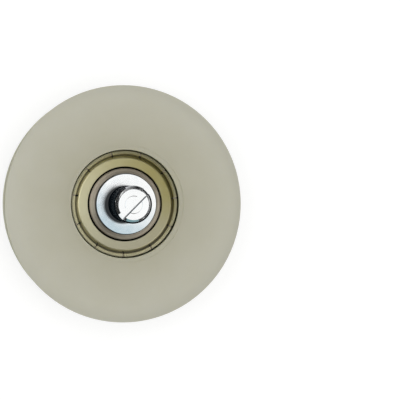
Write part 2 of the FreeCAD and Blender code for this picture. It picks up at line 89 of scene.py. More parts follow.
class DOORROLLER_PG_stud(bpy.types.PropertyGroup):
    """Sizes of the turned and threaded stud."""

    seat_radius: length_property("Seat Radius", "Stud inside the bearing", 0.00849)
    tail_length: length_property("Tail Length", "Stud behind the circlip groove", 0.0015)
    tail_chamfer: length_property("Tail Chamfer", "Back end of the stud", 0.0006)
    groove_radius: length_property("Circlip Groove Radius", "Stud in the circlip groove", 0.0081)
    groove_width: length_property("Circlip Groove Width", "Circlip groove along the axis", 0.0011)
    seat_length: length_property("Seat Length", "Stud inside the bearing, along the axis", 0.012)
    collar_radius: length_property("Collar Radius", "Collar that the inner ring rests on", 0.01)
    collar_thickness: length_property("Collar Thickness", "Collar along the axis", 0.0032)
    collar_chamfer: length_property("Collar Chamfer", "Edges of the collar", 0.00025)
    neck_radius: length_property("Neck Radius", "Relieved neck between collar and thread", 0.0056)
    neck_length: length_property("Neck Length", "Relieved neck along the axis", 0.0036)
    neck_round: length_property("Neck Round", "Root of the neck at the collar", 0.0005)
    thread_radius: length_property("Thread Radius", "Crest of the thread", 0.006)
    thread_length: length_property("Thread Length", "Thread with its tip chamfer", 0.0136)
    thread_pitch: length_property("Thread Pitch", "Rise of the thread in one turn", 0.00175)
    thread_depth: length_property("Thread Depth", "Crest to root", 0.00107)
    thread_runout: length_property("Thread Runout", "Stretch in which the thread fades out", 0.0011)
    tip_chamfer: length_property("Tip Chamfer", "Tip of the thread", 0.0012)
    tip_mark_radius: length_property("Tip Mark Radius", "Ring left by the tool on the tip", 0.00275)
    tip_mark_width: length_property("Tip Mark Width", "Half the width of that ring", 0.00009)
    tip_mark_depth: length_property("Tip Mark Depth", "Depth of that ring", 0.00002)
    slot_width: length_property("Slot Width", "Driver slot across the tip", 0.0022)
    slot_depth: length_property("Slot Depth", "Driver slot down from the tip", 0.002)
    slot_angle: angle_property("Slot Angle", "Bearing of the driver slot", 45.0)
    steps_round: IntProperty(name="Steps Round", description="Mesh steps round the axis",
                             default=144, min=24)
    rows_per_turn: IntProperty(name="Rows per Turn", description="Mesh rows along one turn of thread",
                               default=16, min=8)


class DOORROLLER_PG_finish(bpy.types.PropertyGroup):
    """Colours of the finishes, and the places on the bearing where they change."""

    nylon_rim: colour_property("Nylon Rim", "Nylon face out at the rims", (0.497, 0.487, 0.402))
    nylon_core: colour_property("Nylon Core", "Nylon face beside the bearing", (0.430, 0.413, 0.312))
    # Lighter and greener than the face: painted light on the upright sides.
    nylon_side_tint_and_light: colour_property("Nylon Side", "Edges of the rims and the groove", (0.570, 0.600, 0.370))
    shield: colour_property("Shield", "Passivated sheet of the shields", (0.62, 0.58, 0.41))
    # Yellower and darker: a film that also paints shade towards the top and the right.
    shield_shade: colour_property("Shield Shade", "Yellower film on the shields", (0.50, 0.44, 0.18))
    # Paints highlights on the shield's left, on its shoulder and on its ridge.
    shield_highlight: colour_property("Shield Worn", "Bare sheet on the shields' edges", (0.84, 0.78, 0.50))
    ring: colour_property("Bearing Ring", "Ground face of the bearing rings", (0.63, 0.55, 0.43))
    # Near-black grease that also paints shade: in the bearing's gaps, along the shield's valley and on its
    # right.
    grease: colour_property("Grease", "Dark grease in the gaps of the bearing", (0.012, 0.010, 0.007))
    ball: colour_property("Ball", "Polished bearing balls", (0.72, 0.72, 0.72))
    cage: colour_property("Cage", "Pressed sheet of the cage", (0.50, 0.49, 0.46))
    zinc: colour_property("Zinc Plate", "Bright plate on the stud's faces", (0.93, 0.935, 0.93))
    # Bluish film that also paints a darker reflection on the collar's lower left.
    zinc_film_and_reflection: colour_property("Zinc Film", "Bluish film on the plate", (0.52, 0.63, 0.68))
    # Paints shade on the collar's chamfers and the slot's walls, and tints the stud's reflections at
    # grazing angles.
    zinc_wall_shade: colour_property("Stud Wall", "Duller plate on edges and in the slot", (0.17, 0.18, 0.19))
    # Near black that paints a dark reflection on the thread's flanks and round its foot.
    oil: colour_property("Oil", "Black oil on the thread and round its foot", (0.002, 0.004, 0.006))
    spring: colour_property("Spring Steel", "Phosphated circlip", (0.055, 0.055, 0.06))
    valley_inset: length_property("Valley Inset", "Shield's outside to its valley's middle", 0.00182)
    shoulder_inset: length_property("Shoulder Inset", "Valley's middle to the flat's edge", 0.0008)
    step_radius: length_property("Step Radius", "Inner ring where a shield runs round it", 0.01177)


class DOORROLLER_PG_stage(bpy.types.PropertyGroup):
    """Camera and light."""

    camera_distance: length_property("Camera Distance", "Camera to the middle of the wheel's face", 0.430)
    camera_tilt: angle_property("Camera Tilt", "Camera off the wheel's axis, to the left", 7.65)
    camera_rise: angle_property("Camera Rise", "Camera off the wheel's axis, to the top", 0.74)
    camera_aim_right: angle_property("Aim Right", "Camera's line right of the wheel", 3.277)
    camera_aim_up: angle_property("Aim Up", "Camera's line above the wheel", 0.172)
    lens: FloatProperty(name="Lens", description="Focal length on a 36 mm sensor", default=117.7,
                        unit="CAMERA", min=10.0)
    top_power: power_property("Top Power", "Overhead soft box", 8.2)
    left_power: power_property("Left Power", "Soft box on the left", 1.3)
    right_power: power_property("Right Power", "Soft box on the right", 0.3)
    world_strength: factor_property("World Strength", "Even light from all round", 0.71)
    ring_card: factor_property("Ring Card", "Brightness of the low card all round the wheel", 0.03)
    over_card: factor_property("Over Card", "Brightness of the card over the wheel", 1.05)
    left_card: factor_property("Left Card", "Brightness of the card on the left", 2.2)


PROPERTY_GROUPS = (
    ("roller_stud", DOORROLLER_PG_stud),
    ("roller_finish", DOORROLLER_PG_finish),
    ("roller_stage", DOORROLLER_PG_stage),
)


# Node trees

NOISE_LOW, NOISE_HIGH = 0.3, 0.7     # most of a noise lies between these


def empty_tree(owner, output_type):
    """Empties the node tree of a material or a world; returns nodes, links and the output's surface."""
    owner.use_nodes = True
    nodes, links = owner.node_tree.nodes, owner.node_tree.links
    nodes.clear()
    return nodes, links, nodes.new(output_type).inputs["Surface"]


def new_material(name):
    """A material with a Principled surface; returns material, nodes, links and the surface shader."""
    material = bpy.data.materials.new(name)
    nodes, links, surface = empty_tree(material, "ShaderNodeOutputMaterial")
    shader = nodes.new("ShaderNodeBsdfPrincipled")
    links.new(shader.outputs["BSDF"], surface)
    return material, nodes, links, shader


def object_point(nodes):
    """The point in the piece's own frame, so the finish turns with the piece."""
    return nodes.new("ShaderNodeTexCoord").outputs["Object"]


def vector_node(nodes, links, operation, point, other=(0.0, 0.0, 0.0)):
    """The point and a fixed vector put through one vector sum."""
    vector_sum = nodes.new("ShaderNodeVectorMath")
    vector_sum.operation = operation
    vector_sum.inputs[1].default_value = other
    links.new(point, vector_sum.inputs[0])
    return vector_sum


def moved(nodes, links, point, offset):
    return vector_node(nodes, links, "ADD", point, offset).outputs["Vector"]


def along(nodes, links, point, direction):
    """How far the point lies along the direction."""
    return vector_node(nodes, links, "DOT_PRODUCT", point, direction).outputs["Value"]


def radius_of(nodes, links, point):
    """Distance of the point from the Z axis."""
    flattened = vector_node(nodes, links, "MULTIPLY", point, (1.0, 1.0, 0.0)).outputs["Vector"]
    return vector_node(nodes, links, "LENGTH", flattened).outputs["Value"]


def height_of(nodes, links, point):
    split = nodes.new("ShaderNodeSeparateXYZ")
    links.new(point, split.inputs["Vector"])
    return split.outputs["Z"]


def noise(nodes, links, point, scale, detail=3.0, roughness=0.55, distortion=0.0):
    """Noise whose features are about 1 / scale metres across."""
    texture = nodes.new("ShaderNodeTexNoise")
    texture.inputs["Scale"].default_value = scale
    texture.inputs["Detail"].default_value = detail
    texture.inputs["Roughness"].default_value = roughness
    texture.inputs["Distortion"].default_value = distortion
    links.new(point, texture.inputs["Vector"])
    return texture.outputs["Fac"]


def spread(nodes, links, value, low, high, to_low=0.0, to_high=1.0):
    """Maps low..high to to_low..to_high, and holds it there."""
    ranged = nodes.new("ShaderNodeMapRange")
    ranged.inputs["From Min"].default_value = low
    ranged.inputs["From Max"].default_value = high
    ranged.inputs["To Min"].default_value = to_low
    ranged.inputs["To Max"].default_value = to_high
    links.new(value, ranged.inputs["Value"])
    return ranged.outputs["Result"]


def spread_noise(nodes, links, texture, to_low, to_high):
    return spread(nodes, links, texture, NOISE_LOW, NOISE_HIGH, to_low, to_high)


def inverse_of(nodes, links, value):
    """1 where the value is 0, and 0 where it is 1."""
    return spread(nodes, links, value, 0.0, 1.0, 1.0, 0.0)


def towards(nodes, links, point, direction, start, full, least=0.0, most=1.0):
    """Grows from least to most as the point goes along the direction from start to full."""
    return spread(nodes, links, along(nodes, links, point, direction), start, full, least, most)


def combine(nodes, links, operation, first, second):
    """first and second, each a socket or a number, put through one sum."""
    sum_node = nodes.new("ShaderNodeMath")
    sum_node.operation = operation
    for number, value in enumerate((first, second)):
        if isinstance(value, bpy.types.NodeSocket):
            links.new(value, sum_node.inputs[number])
        else:
            sum_node.inputs[number].default_value = value
    return sum_node.outputs["Value"]


def unsigned(nodes, links, value):
    return combine(nodes, links, "ABSOLUTE", value, 0.0)


def product_of(nodes, links, first, *others):
    """All the values multiplied."""
    for other in others:
        first = combine(nodes, links, "MULTIPLY", first, other)
    return first


def past(origin, places):
    """The places, which are measured from the origin, as values of their own."""
    return [origin + place for place in places]


def band(nodes, links, value, start, full, fading, end, strength=1.0):
    """0 up to start, the strength from full to fading, and 0 again from end."""
    return product_of(nodes, links, spread(nodes, links, value, start, full, 0.0, strength),
                      spread(nodes, links, value, end, fading))


def facing_up(nodes, links):
    """The normal's Z: 1 on faces that look up the piece's axis, 0 on upright ones, -1 on those below."""
    return height_of(nodes, links, nodes.new("ShaderNodeTexCoord").outputs["Normal"])


def off_axis_facing(nodes, links, level, upright):
    """0 on level faces and 1 on upright ones; level and upright are the normal's Z there."""
    return spread(nodes, links, unsigned(nodes, links, facing_up(nodes, links)), level, upright)


def blend_colours(nodes, links, amount, first, second):
    """first where amount is 0, second where it is 1; each is a colour or a socket."""
    mix = nodes.new("ShaderNodeMix")
    mix.data_type = "RGBA"
    for name, colour in (("A", first), ("B", second)):
        entry = next(entry for entry in mix.inputs if entry.name == name and entry.type == "RGBA")
        if isinstance(colour, bpy.types.NodeSocket):
            links.new(colour, entry)
        else:
            entry.default_value = (*colour, 1.0)
    links.new(amount, mix.inputs["Factor"])
    return next(entry for entry in mix.outputs if entry.type == "RGBA")


def turned_lines(nodes, links, distance, scale):
    """Fine rings left by a lathe, along the given distance."""
    spot = nodes.new("ShaderNodeCombineXYZ")
    links.new(distance, spot.inputs["X"])
    return noise(nodes, links, spot.outputs["Vector"], scale, detail=2.0, roughness=0.5, distortion=0.4)


def add_bump(nodes, links, shader, height, distance, strength=1.0):
    bump = nodes.new("ShaderNodeBump")
    bump.inputs["Strength"].default_value = strength
    bump.inputs["Distance"].default_value = distance
    links.new(height, bump.inputs["Height"])
    links.new(bump.outputs["Normal"], shader.inputs["Normal"])


def stretch_round_axis(nodes, links, shader, anisotropy):
    """Stretches highlights away from the Z axis, as fine rings round it do."""
    shader.inputs["Anisotropic"].default_value = anisotropy
    shader.inputs["Anisotropic Rotation"].default_value = 0.25
    tangent = nodes.new("ShaderNodeTangent")
    tangent.direction_type = "RADIAL"
    tangent.axis = "Z"
    links.new(tangent.outputs["Tangent"], shader.inputs["Tangent"])


# Where the looks change. Each pair is where a look starts and where it is full.

# The normal's Z
NYLON_SIDE_FACING = (0.75, 0.2)
WALL_FACING = (0.35, 0.15)
SLOPE_FACING = (0.997, 0.965)
UPPER_FLANK_FACING = (0.1, 0.3)
LOWER_FLANK_FACING = (-0.1, -0.3)

# Radii
NYLON_RADII = (0.018, 0.038)
STUD_FILM_RADII = (0.0045, 0.0075)
CREST_RADII = (0.0057, 0.0059)
COLLAR_EDGE_RADII = (0.0090, 0.0095)
SLOT_RADII = (0.0050, 0.0047)
FLANK_RADII = (0.0052, 0.0056)
MIRRORED_STUD_RADII = (0.0065, 0.0059)

# Heights past the foot of the tip's chamfer, and past the collar's face
CHAMFER_HEIGHTS = (0.0, 0.0001)
SLOT_HEIGHTS = (-0.0020, -0.0015)
COLLAR_FACE_HEIGHTS = (-0.00001, 0.00001)
FOOT_DARK_REFLECTION_HEIGHTS = (0.0008, 0.0024)

# Distances from the shield's shoulder and from its valley, and heights past the bearing's faces
SHOULDER_HIGHLIGHT = (0.00035, 0.0001)
RIDGE_HIGHLIGHT = (0.0002, 0.0005)
VALLEY_SHADE = (0.0003, 0.0001)
GREASE_SHADE_HEIGHTS = (-0.0024, -0.0020)

# Bands: start, full, fading and end, past the step, the mouth, the valley and the collar's face
STEP_GREASE_SHADE = (-0.00007, -0.00002, 0.0022, 0.0026)
MOUTH_GREASE_SHADE = (-0.0004, -0.0003, 0.0003, 0.0004)
RIDGE_DUST = (0.0002, 0.0005, 0.0010, 0.0013)
MIRRORED_STUD_HEIGHTS = (-0.0001, -0.00005, 0.0002, 0.0003)

# Sides: a direction, where the look starts and is full along it, and its least and most
FILM_AND_SHADE_SIDE = (0.45, 0.89, 0.0)
SHIELD_FILM_AND_SHADE = (FILM_AND_SHADE_SIDE, -0.008, 0.012)
STUD_FILM_AND_REFLECTION = (FILM_AND_SHADE_SIDE, 0.004, -0.009)
SHIELD_LIT_LEFT = ((-0.87, 0.5, 0.0), -0.003, 0.013, 0.0, 0.5)
SHIELD_SHADED_RIGHT = ((0.93, -0.37, 0.0), 0.003, 0.014, 0.0, 0.2)
SHOULDER_HIGHLIGHT_SIDE = ((-0.6, -0.8, 0.0), -0.012, 0.012, 0.1, 1.0)
RIDGE_DUSTED = ((-0.3, -0.95, 0.0), -0.004, 0.012)

# Strengths
SLOT_SHADE = 0.85
ROOT_DARK_REFLECTION = 0.4
MIRRORED_STUD_DARKNESS = 0.93
RIDGE_HIGHLIGHT_STRENGTH = 0.7
SHADE_IN_VALLEY = 0.85
DUSTY_METAL = 0.68

MIRRORED_STUD_OFFSET = (0.0011, 0.0002, 0.0)


# Finishes

def scaled(colour, factor):
    """The colour made lighter or darker."""
    return [factor * channel for channel in colour]


def nylon_material(colours):
    """Moulded nylon: satin, a little light inside, yellower beside the bearing, with its upright sides
    painted lighter and greener as painted light.
    """
    material, nodes, links, shader = new_material("nylon")
    point = object_point(nodes)
    mottle = noise(nodes, links, point, scale=90.0, detail=4.0, roughness=0.6)
    radius = radius_of(nodes, links, point)
    outward = combine(nodes, links, "ADD", spread(nodes, links, radius, *NYLON_RADII),
                      spread_noise(nodes, links, mottle, -0.12, 0.12))
    face = blend_colours(nodes, links, outward, colours.nylon_core, colours.nylon_rim)
    # Painted light: the upright sides get a lighter, greener colour.
    side = off_axis_facing(nodes, links, *NYLON_SIDE_FACING)
    links.new(blend_colours(nodes, links, side, face, colours.nylon_side_tint_and_light), shader.inputs["Base Color"])
    grain = noise(nodes, links, point, scale=2600.0, detail=2.0)
    links.new(spread_noise(nodes, links, grain, 0.42, 0.56), shader.inputs["Roughness"])
    add_bump(nodes, links, shader, grain, distance=0.00002, strength=0.5)
    shader.inputs["IOR"].default_value = 1.53
    shader.inputs["Specular IOR Level"].default_value = 0.4
    shader.inputs["Subsurface Weight"].default_value = 0.25
    shader.inputs["Subsurface Radius"].default_value = (1.0, 0.9, 0.6)
    shader.inputs["Subsurface Scale"].default_value = 0.0015
    return material


def turned_metal(name, roughness, line_scale, line_depth, anisotropy):
    """Machined metal with the tool's rings round the axis, still without a colour."""
    material, nodes, links, shader = new_material(name)
    lines = turned_lines(nodes, links, radius_of(nodes, links, object_point(nodes)), line_scale)
    links.new(spread_noise(nodes, links, lines, roughness * 0.75, roughness * 1.35),
              shader.inputs["Roughness"])
    add_bump(nodes, links, shader, lines, line_depth)
    shader.inputs["Metallic"].default_value = 1.0
    stretch_round_axis(nodes, links, shader, anisotropy)
    return material, nodes, links, shader


def stud_material(colours, collar_top, chamfer_foot):
    """Zinc plate with a bluish film that paints a darker reflection on the collar's lower left, painted
    shade on the collar's edges and the slot's walls, and near black on the thread and round its foot that
    paints a dark reflection.
    """
    material, nodes, links, shader = turned_metal("zinc_steel", roughness=0.11, line_scale=5200.0,
                                                  line_depth=0.000003, anisotropy=0.75)
    point = object_point(nodes)
    radius = radius_of(nodes, links, point)
    height = height_of(nodes, links, point)

    # The bluish film lies on the collar's face and fades towards the axis; it is fuller towards the lower
    # left, where it paints a darker reflection.
    patches = noise(nodes, links, point, scale=420.0)
    film = combine(nodes, links, "ADD", towards(nodes, links, point, *STUD_FILM_AND_REFLECTION),
                   spread_noise(nodes, links, patches, -0.12, 0.12))
    film = product_of(nodes, links, film, spread(nodes, links, radius, *STUD_FILM_RADII))
    plate = blend_colours(nodes, links, film, colours.zinc, colours.zinc_film_and_reflection)

    # Painted shade: the collar's chamfers and the walls of the driver slot are painted darker.
    upright = off_axis_facing(nodes, links, *WALL_FACING)
    crest = product_of(nodes, links, upright, spread(nodes, links, radius, *CREST_RADII))
    slope = product_of(nodes, links, off_axis_facing(nodes, links, *SLOPE_FACING),
                       inverse_of(nodes, links, crest),
                       spread(nodes, links, height, *past(chamfer_foot, CHAMFER_HEIGHTS), 1.0, 0.0))
    collar_edge = product_of(nodes, links, slope, spread(nodes, links, radius, *COLLAR_EDGE_RADII))
    slot_wall = product_of(nodes, links, upright,
                           spread(nodes, links, radius, *SLOT_RADII, 0.0, SLOT_SHADE),
                           spread(nodes, links, height, *past(chamfer_foot, SLOT_HEIGHTS)))
    painted_edge_shade = combine(nodes, links, "MAXIMUM", collar_edge, slot_wall)
    plate = blend_colours(nodes, links, painted_edge_shade, plate, colours.zinc_wall_shade)

    # Painted dark reflection: near black covers the foot and the thread's flanks, and is weaker in its
    # roots.
    over_collar = spread(nodes, links, height, *past(collar_top, COLLAR_FACE_HEIGHTS))
    facing = facing_up(nodes, links)
    upper_flank = product_of(nodes, links, spread(nodes, links, facing, *UPPER_FLANK_FACING),
                             spread(nodes, links, radius, *FLANK_RADII))
    flank = combine(nodes, links, "MAXIMUM", upper_flank,
                    spread(nodes, links, facing, *LOWER_FLANK_FACING))
    foot_fade = spread(nodes, links, height, *past(collar_top, FOOT_DARK_REFLECTION_HEIGHTS), 1.0, ROOT_DARK_REFLECTION)
    dark_reflection_mask = product_of(nodes, links, slope, over_collar,
                      combine(nodes, links, "MAXIMUM", flank, foot_fade))

    # A painted dark reflection of the stud, round on the collar's face beside the foot, a little off the
    # axis.
    from_mirrored_stud = radius_of(nodes, links, moved(nodes, links, point, MIRRORED_STUD_OFFSET))
    smear = product_of(nodes, links, spread(nodes, links, from_mirrored_stud, *MIRRORED_STUD_RADII),
                       band(nodes, links, height, *past(collar_top, MIRRORED_STUD_HEIGHTS), MIRRORED_STUD_DARKNESS))
    dark_reflection_mask = combine(nodes, links, "MAXIMUM", dark_reflection_mask, smear)
    links.new(blend_colours(nodes, links, dark_reflection_mask, plate, colours.oil), shader.inputs["Base Color"])
    links.new(inverse_of(nodes, links, dark_reflection_mask), shader.inputs["Metallic"])
    shader.inputs["Specular IOR Level"].default_value = 0.0
    shader.inputs["Specular Tint"].default_value = (*colours.zinc_wall_shade, 1.0)
    return material


def ring_material(colours, middle, half_width, mouth_radius):
    """Ground bearing steel with a patchy film, and near-black grease in the gaps beside the shields that
    paints their shade.
    """
    material, nodes, links, shader = turned_metal("bearing_steel", roughness=0.45, line_scale=6500.0,
                                                  line_depth=0.000002, anisotropy=0.9)
    point = object_point(nodes)
    film = noise(nodes, links, point, scale=260.0, roughness=0.6)
    clean = blend_colours(nodes, links, spread(nodes, links, film, low=0.42, high=0.78),
                          colours.ring, scaled(colours.ring, 0.8))
    radius = radius_of(nodes, links, point)
    from_middle = combine(nodes, links, "SUBTRACT", height_of(nodes, links, point), middle)
    off_middle = unsigned(nodes, links, from_middle)
    # Painted shade: near-black grease in the gaps beside the step and in the outer ring's mouth.
    beside_step = band(nodes, links, radius, *past(colours.step_radius, STEP_GREASE_SHADE))
    in_mouth = band(nodes, links, radius, *past(mouth_radius, MOUTH_GREASE_SHADE))
    greasy_shade = product_of(nodes, links, combine(nodes, links, "MAXIMUM", beside_step, in_mouth),
                        spread(nodes, links, off_middle, *past(half_width, GREASE_SHADE_HEIGHTS)))
    links.new(blend_colours(nodes, links, greasy_shade, clean, colours.grease), shader.inputs["Base Color"])
    return material


def drawn_metal(name, roughness):
    """Pressed sheet with drawn grain and a soft sheen, still without a colour."""
    material, nodes, links, shader = new_material(name)
    grain = noise(nodes, links, object_point(nodes), scale=4200.0, detail=2.0)
    links.new(spread_noise(nodes, links, grain, roughness * 0.85, roughness * 1.2),
              shader.inputs["Roughness"])
    add_bump(nodes, links, shader, grain, distance=0.000004)
    shader.inputs["Metallic"].default_value = 1.0
    return material, nodes, links, shader


def sheet_metal(name, colour, shade, roughness):
    """Pressed sheet with a thin patchy film in a second colour."""
    material, nodes, links, shader = drawn_metal(name, roughness)
    film = noise(nodes, links, object_point(nodes), scale=180.0, detail=4.0, roughness=0.6)
    links.new(blend_colours(nodes, links, spread(nodes, links, film, low=0.35, high=0.75), colour, shade),
              shader.inputs["Base Color"])
    return material


def shield_material(colours, valley_radius):
    """Pressed sheet: a yellower film that also paints shade towards one side, a painted highlight on the
    left, painted shade on the right, painted highlights on the shoulder and the ridge, painted shade along
    the valley, and dust on the ridge.
    """
    material, nodes, links, shader = drawn_metal("shield_steel", roughness=0.36)
    point = object_point(nodes)
    patches = noise(nodes, links, point, scale=120.0, detail=4.0, roughness=0.6)
    # The yellower film also paints shade towards the top and the right.
    film = combine(nodes, links, "ADD", towards(nodes, links, point, *SHIELD_FILM_AND_SHADE),
                   spread_noise(nodes, links, patches, -0.15, 0.15))
    sheet = blend_colours(nodes, links, film, colours.shield, colours.shield_shade)
    # Painted highlight on the left.
    lit_left = towards(nodes, links, point, *SHIELD_LIT_LEFT)
    sheet = blend_colours(nodes, links, lit_left, sheet, colours.shield_highlight)
    # Painted shade on the right.
    shaded_right = towards(nodes, links, point, *SHIELD_SHADED_RIGHT)
    sheet = blend_colours(nodes, links, shaded_right, sheet, colours.grease)

    # Painted highlights on the shoulder, strongest on the lower left, and on the ridge.
    past_valley = combine(nodes, links, "SUBTRACT", radius_of(nodes, links, point), valley_radius)
    past_shoulder = combine(nodes, links, "ADD", past_valley, colours.shoulder_inset)
    off_shoulder = unsigned(nodes, links, past_shoulder)
    shoulder = product_of(nodes, links, spread(nodes, links, off_shoulder, *SHOULDER_HIGHLIGHT),
                          towards(nodes, links, point, *SHOULDER_HIGHLIGHT_SIDE))
    ridge = spread(nodes, links, past_valley, *RIDGE_HIGHLIGHT, 0.0, RIDGE_HIGHLIGHT_STRENGTH)
    painted_highlight = combine(nodes, links, "MAXIMUM", shoulder, ridge)
    sheet = blend_colours(nodes, links, painted_highlight, sheet, colours.shield_highlight)

    # Painted shade along the valley.
    off_valley = unsigned(nodes, links, past_valley)
    valley_shade = spread(nodes, links, off_valley, *VALLEY_SHADE, 0.0, SHADE_IN_VALLEY)
    links.new(blend_colours(nodes, links, valley_shade, sheet, colours.grease), shader.inputs["Base Color"])
    dusty = product_of(nodes, links, band(nodes, links, past_valley, *RIDGE_DUST),
                       towards(nodes, links, point, *RIDGE_DUSTED))
    links.new(spread(nodes, links, dusty, 0.0, 1.0, 1.0, DUSTY_METAL), shader.inputs["Metallic"])
    stretch_round_axis(nodes, links, shader, anisotropy=0.5)
    return material


def polished_metal(name, colour, roughness):
    """Polished metal with faint smears."""
    material, nodes, links, shader = new_material(name)
    smear = noise(nodes, links, object_point(nodes), scale=500.0)
    links.new(spread_noise(nodes, links, smear, roughness, roughness * 2.0), shader.inputs["Roughness"])
    links.new(blend_colours(nodes, links, smear, colour, scaled(colour, 0.9)), shader.inputs["Base Color"])
    shader.inputs["Metallic"].default_value = 1.0
    return material


def dress(node_names, material):
    """Gives carried-over CAD nodes their finish."""
    for name in node_names:
        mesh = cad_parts[name].data
        mesh.materials.clear()
        mesh.materials.append(material)


# Stud mesh

CREST_SHARE = 0.125              # of one turn of the thread
ROOT_SHARE = 0.30
ROOT_EDGE = 0.93                 # depth at the root's edges, as a share of the thread's depth
NECK_ROUND_STEPS = 7
MERGE_DISTANCE = 1e-7
SHORTEST_EDGE = 1e-8
SMOOTH_ANGLE = math.radians(16.0)


def thread_radius_at(stud, phase):
    """Radius of the 60 degree thread at a phase from 0 to 1 along one turn: crest, flank, root, flank."""
    flank_share = (1.0 - CREST_SHARE - ROOT_SHARE) / 2.0
    phase = phase % 1.0
    if phase < CREST_SHARE:
        return stud.thread_radius
    if phase < CREST_SHARE + flank_share:
        share = (phase - CREST_SHARE) / flank_share
    elif phase < CREST_SHARE + flank_share + ROOT_SHARE:
        bend = (phase - CREST_SHARE - flank_share) / ROOT_SHARE
        depth_share = ROOT_EDGE + (1.0 - ROOT_EDGE) * math.sin(math.pi * bend)
        return stud.thread_radius - stud.thread_depth * depth_share
    else:
        share = (1.0 - phase) / flank_share
    return stud.thread_radius - stud.thread_depth * ROOT_EDGE * share


def turned_levels(stud):
    """Heights of the stud's back end, the inner ring's back, and the collar's back and face."""
    back = STUD_LOW.z
    ring_back = back + stud.tail_length + stud.groove_width
    collar_back = ring_back + stud.seat_length
    return back, ring_back, collar_back, collar_back + stud.collar_thickness


def thread_levels(stud):
    """Heights of the thread's foot and of its tip."""
    thread_foot = turned_levels(stud)[-1] + stud.neck_length
    return thread_foot, thread_foot + stud.thread_length


def plain_profile(stud):
    """(radius, height) of the turned stud from the middle of its back end up to the thread's foot."""
    back, ring_back, collar_back, collar_top = turned_levels(stud)
    edge = stud.collar_chamfer
    profile = [
        (stud.seat_radius - stud.tail_chamfer, back),
        (stud.seat_radius, back + stud.tail_chamfer),
        (stud.seat_radius, back + stud.tail_length),
        (stud.groove_radius, back + stud.tail_length),
        (stud.groove_radius, ring_back),
        (stud.seat_radius, ring_back),
        (stud.seat_radius, collar_back),
        (stud.collar_radius - edge, collar_back),
        (stud.collar_radius, collar_back + edge),
        (stud.collar_radius, collar_top - edge),
        (stud.collar_radius - edge, collar_top),
        (stud.neck_radius + stud.neck_round + edge / 2.0, collar_top),
    ]
    for step in range(NECK_ROUND_STEPS + 1):
        turn = math.pi / 2.0 * step / NECK_ROUND_STEPS
        profile.append((stud.neck_radius + stud.neck_round * (1.0 - math.sin(turn)),
                        collar_top + stud.neck_round * (1.0 - math.cos(turn))))
    return profile


def build_stud(stud):
    """Closed mesh of the stud, its thread rows following the helix."""
    thread_foot, tip = thread_levels(stud)
    mesh = bmesh.new()
    steps = stud.steps_round
    turns = [2.0 * math.pi * step / steps for step in range(steps)]

    def ring(radius_and_height):
        """One closed ring of vertices, with a radius and height for each turn."""
        return [mesh.verts.new((radius * math.cos(turn), radius * math.sin(turn), height))
                for turn, (radius, height) in zip(turns, radius_and_height)]

    rings = [ring([(radius, height)] * steps) for radius, height in plain_profile(stud)]

    run_start = thread_foot - (stud.thread_radius - stud.neck_radius)
    pitch = stud.thread_pitch
    row_count = math.ceil((tip - run_start) / pitch + 1.0) * stud.rows_per_turn

    def cut_place(turn, row):
        """Radius and height of the thread's surface at a turn of a row."""
        height = run_start - pitch + row * pitch / stud.rows_per_turn + pitch * turn / (2.0 * math.pi)
        height = min(max(height, run_start), tip)
        phase = (height - run_start) / pitch - turn / (2.0 * math.pi)
        radius = thread_radius_at(stud, phase)
        fade = min(max((height - run_start) / stud.thread_runout, 0.0), 1.0)
        radius = stud.neck_radius + (radius - stud.neck_radius) * fade
        radius = min(radius, stud.thread_radius - max(height - (tip - stud.tip_chamfer), 0.0))
        return radius, height

    first_row, last_row = len(rings), len(rings) + row_count
    for row in range(row_count + 1):
        rings.append(ring([cut_place(turn, row) for turn in turns]))
    for share, dip in ((2.0, 0.0), (1.0, 0.0), (0.0, stud.tip_mark_depth), (-1.0, 0.0), (-2.0, 0.0)):
        rings.append(ring([(stud.tip_mark_radius + share * stud.tip_mark_width, tip - dip)] * steps))

    def next_round(index, step):
        """The vertex one step on; a thread row that has come round is a turn higher."""
        if step + 1 < steps:
            return rings[index][step + 1]
        if first_row <= index <= last_row:
            index = min(index + stud.rows_per_turn, last_row)
        return rings[index][0]

    for index in range(len(rings) - 1):
        for step in range(steps):
            corners = (rings[index][step], next_round(index, step), next_round(index + 1, step),
                       rings[index + 1][step])
            mesh.faces.new(dict.fromkeys(corners))
    mesh.faces.new(list(reversed(rings[0])))
    mesh.faces.new(rings[-1])
    bmesh.ops.remove_doubles(mesh, verts=mesh.verts, dist=MERGE_DISTANCE)
    bmesh.ops.dissolve_degenerate(mesh, edges=mesh.edges, dist=SHORTEST_EDGE)
    bmesh.ops.recalc_face_normals(mesh, faces=mesh.faces)
    return mesh


def build_slot_cutter(stud):
    """Block that cuts the driver slot; it is longer than the tip is wide, and half of it is above."""
    length = 3.0 * stud.thread_radius
    mesh = bmesh.new()
    bmesh.ops.create_cube(mesh, size=1.0)
    bmesh.ops.scale(mesh, vec=(length, stud.slot_width, 2.0 * stud.slot_depth), verts=mesh.verts)
    bmesh.ops.rotate(mesh, matrix=Matrix.Rotation(stud.slot_angle, 3, "Z"), verts=mesh.verts)
    bmesh.ops.translate(mesh, vec=(0.0, 0.0, STUD_HIGH.z), verts=mesh.verts)
    return mesh


def new_object(name, mesh):
    """An object in the scene from a bmesh, which is freed."""
    data = bpy.data.meshes.new(name)
    mesh.to_mesh(data)
    mesh.free()
    piece = bpy.data.objects.new(name, data)
    bpy.context.scene.collection.objects.link(piece)
    return piece


def cut_with(piece, cutter):
    """Takes the cutter out of the piece, and the cutter out of the scene."""
    cut = piece.modifiers.new("cut", "BOOLEAN")
    cut.operation = "DIFFERENCE"
    cut.solver = "EXACT"
    cut.object = cutter
    bpy.context.view_layer.update()
    solid = piece.evaluated_get(bpy.context.evaluated_depsgraph_get())
    result = bpy.data.meshes.new_from_object(solid)
    piece.modifiers.clear()
    old = piece.data
    piece.data = result
    result.name = piece.name
    bpy.data.meshes.remove(old)
    bpy.data.objects.remove(cutter)


